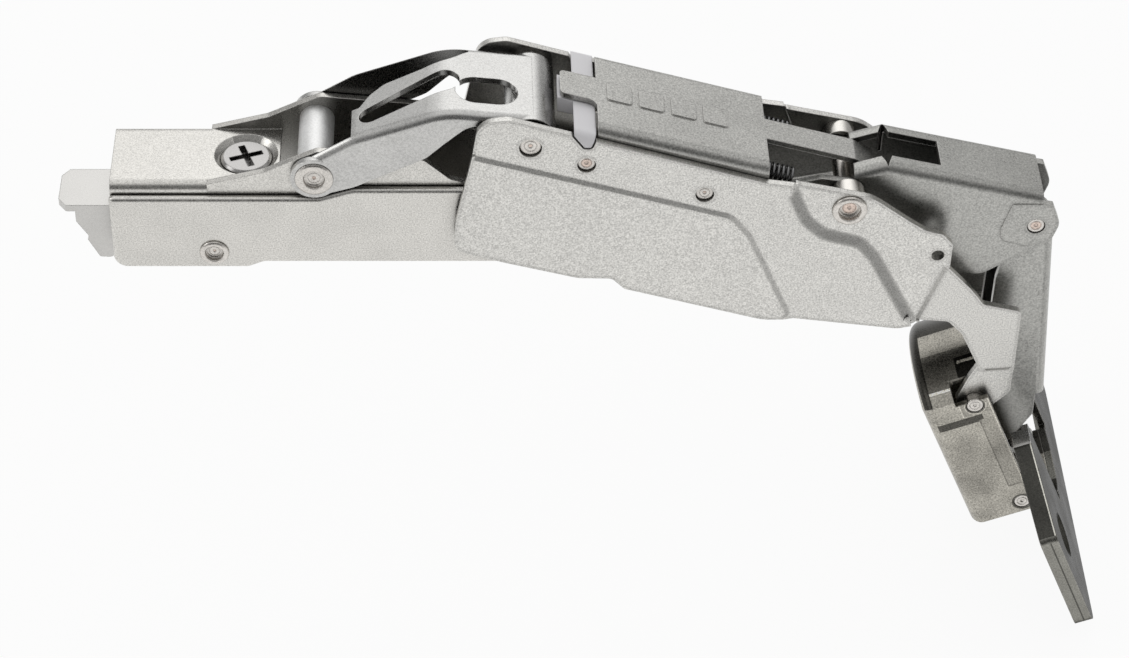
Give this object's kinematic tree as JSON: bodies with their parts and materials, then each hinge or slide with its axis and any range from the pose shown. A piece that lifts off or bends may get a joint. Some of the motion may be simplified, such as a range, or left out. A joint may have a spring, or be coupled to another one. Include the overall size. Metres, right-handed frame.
{
  "type": "concealed cup hinge",
  "caption": "Wide-angle concealed cup hinge shown fully open: clip-on arm, folding side plates, cover channel, front links and a screw-on door cup.",
  "frame": {"origin": "on the arm's seating face, under the clip rivet, on the mid-plane", "axes": "+X from the arm towards the cup, +Z away from the cabinet side, Y along the pivots"},
  "size_m": [0.1647, 0.0578, 0.0904],
  "materials": {
    "arm_steel": "satin nickel-plated sheet",
    "plate_steel": "fine-grained satin nickel plate",
    "cover_steel": "darker satin nickel plate",
    "cup_steel": "warm satin nickel plate",
    "rivet_steel": "bright, slightly coppery",
    "screw_steel": "bright nickel",
    "spring_steel": "dark wire",
    "slider_plastic": "pale grey-violet plastic",
    "damper_plastic": "black plastic"
  },
  "bodies": {
    "arm": {"arm_housing": "arm_steel", "clip_rivet": "rivet_steel", "lever_spring": "spring_steel"},
    "channel": {"adjusting_channel": "arm_steel", "rear_pivot_pin": "rivet_steel", "rear_pivot_sleeve": "rivet_steel", "nose_pivot_pin": "rivet_steel"},
    "screw": {"side_adjust_screw": "screw_steel"},
    "lever": {"release_lever": "arm_steel"},
    "fork": {"rear_fork_link": "arm_steel", "fork_bush": "rivet_steel"},
    "plates": {"side_plate_near": "plate_steel", "side_plate_far": "plate_steel", "cover_channel": "cover_steel", "fork_pivot_pin": "rivet_steel", "fork_washers": "rivet_steel", "rear_cross_rivet": "rivet_steel", "front_cross_rivet": "rivet_steel", "damper_cylinder": "damper_plastic", "closing_springs": "spring_steel", "scissor_pivot_pin": "rivet_steel", "scissor_bushes": "rivet_steel"},
    "rod": {"damper_rod": "damper_plastic"},
    "slider": {"damper_slider": "slider_plastic"},
    "upper": {"upper_front_channel": "cover_steel", "link_pivot_rivets": "rivet_steel"},
    "cup": {"cup_shell": "cup_steel", "mounting_flange": "cup_steel", "cup_pivot_pins": "rivet_steel", "cup_link_pin": "rivet_steel", "cup_spring_bar": "rivet_steel"},
    "link": {"front_link": "cover_steel"}
  },
  "joints": [
    {"name": "side_adjustment", "type": "hinge", "parent": "arm", "child": "channel", "pos_m": [-0.013, 0, 0.0044], "axis": [0, -1, 0], "range_deg": [0, 2]},
    {"name": "screw_turn", "type": "hinge", "parent": "channel", "child": "screw", "pos_m": [0.005, 0, 0.0157], "axis": [0, 0, 1], "range_deg": [0, 284]},
    {"name": "lever_press", "type": "hinge", "parent": "arm", "child": "lever", "pos_m": [0, 0, 0.0033], "axis": [0, 1, 0], "range_deg": [0, 8], "stiffness_Nm_per_rad": 0.02},
    {"name": "fold", "type": "hinge", "parent": "channel", "child": "fork", "pos_m": [0.0157, 0, 0.0177], "axis": [0, -1, 0], "range_deg": [0, 118.8]},
    {"name": "fork_pivot", "type": "hinge", "parent": "fork", "child": "plates", "pos_m": [0.0481, 0, 0.0251], "axis": [0, 1, 0], "range_deg": [0, 118.8]},
    {"name": "scissor_pivot", "type": "hinge", "parent": "plates", "child": "upper", "pos_m": [0.0965, 0, 0.0128], "axis": [0, -1, 0], "range_deg": [0, 118.8]},
    {"name": "cup_pivot", "type": "hinge", "parent": "plates", "child": "cup", "pos_m": [0.12, 0, -0.0274], "axis": [0, -1, 0], "range_deg": [0, 156.51]},
    {"name": "cup_link_pivot", "type": "hinge", "parent": "cup", "child": "link", "pos_m": [0.13022, 0, -0.04891], "axis": [0, 1, 0], "range_deg": [0, 126.49]},
    {"name": "damper_switch", "type": "slide", "parent": "plates", "child": "slider", "axis": [0, 1, 0], "range_m": [-0.001, 0.001]},
    {"name": "damper_stroke", "type": "slide", "parent": "plates", "child": "rod", "axis": [0.9604, 0, -0.2785], "range_m": [0, 0.0018], "stiffness_N_per_m": 60}
  ],
  "couplings": [
    {"joint": "screw_turn", "follows": "side_adjustment", "ratio": 142},
    {"joint": "fork_pivot", "follows": "fold", "ratio": 1},
    {"joint": "scissor_pivot", "follows": "fold", "ratio": 1},
    {"joint": "cup_pivot", "follows": "fold", "ratio": 1.3173},
    {"joint": "cup_link_pivot", "follows": "fold", "ratio": 1.0646}
  ]
}
